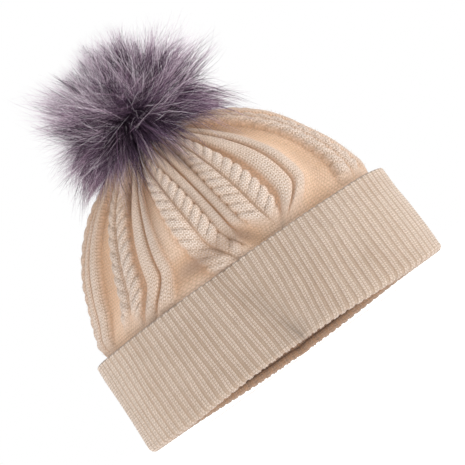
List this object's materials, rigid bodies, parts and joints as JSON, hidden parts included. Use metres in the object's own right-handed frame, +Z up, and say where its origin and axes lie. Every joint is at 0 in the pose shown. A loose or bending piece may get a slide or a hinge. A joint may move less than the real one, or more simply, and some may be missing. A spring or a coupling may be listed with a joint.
{
  "type": "pom pom beanie",
  "caption": "Cable-knit beanie with a turned-up ribbed cuff and a round fur pompom that swivels, tilts and pulls off a press stud.",
  "frame": {"origin": "middle of the rectangle the hat stands on, at the lowest point of the rim", "axes": "+Z up through the crown to the pompom, -Y out of the front of the hat, +X to the right seen from the front"},
  "size_m": [0.2294, 0.1278, 0.2515],
  "materials": {
    "crown_wool": "matte",
    "cuff_wool": "matte",
    "seam_yarn": "matte",
    "thread": "matte",
    "felt": "matte",
    "steel": "satin",
    "pelt_leather": "matte",
    "stuffing": "matte",
    "fur": "satin",
    "label_tape": "satin"
  },
  "bodies": {
    "hat": {"crown_knit": "crown_wool", "inner_band_knit": "cuff_wool", "cuff_turn_up": "cuff_wool", "crown_back_seam": "seam_yarn", "band_back_seam": "seam_yarn", "crown_gather_thread": "thread", "care_label": "label_tape", "care_label_stitching": "thread", "crown_reinforcement_disc": "felt", "snap_cap": "steel", "snap_socket": "steel"},
    "ring_spring": {"snap_ring_spring": "steel"},
    "stud": {"snap_stud": "steel", "snap_stud_post": "steel", "pompom_base_disc": "felt"},
    "pompom": {"pompom_gather_thread": "thread", "pompom_pelt": "pelt_leather", "pompom_stuffing": "stuffing", "pompom_fur": "fur"}
  },
  "joints": [
    {"name": "pompom_swivel", "type": "hinge", "parent": "hat", "child": "ring_spring", "pos_m": [0, 0, 0.1739], "axis": [0, 0, 1], "continuous": true},
    {"name": "pompom_pull_off", "type": "slide", "parent": "ring_spring", "child": "stud", "axis": [0, 0, 1], "range_m": [0, 0.03]},
    {"name": "pompom_tilt", "type": "hinge", "parent": "stud", "child": "pompom", "pos_m": [0, 0, 0.1795], "axis": [0, 1, 0], "range_deg": [-10, 10], "stiffness_Nm_per_rad": 0.08}
  ]
}
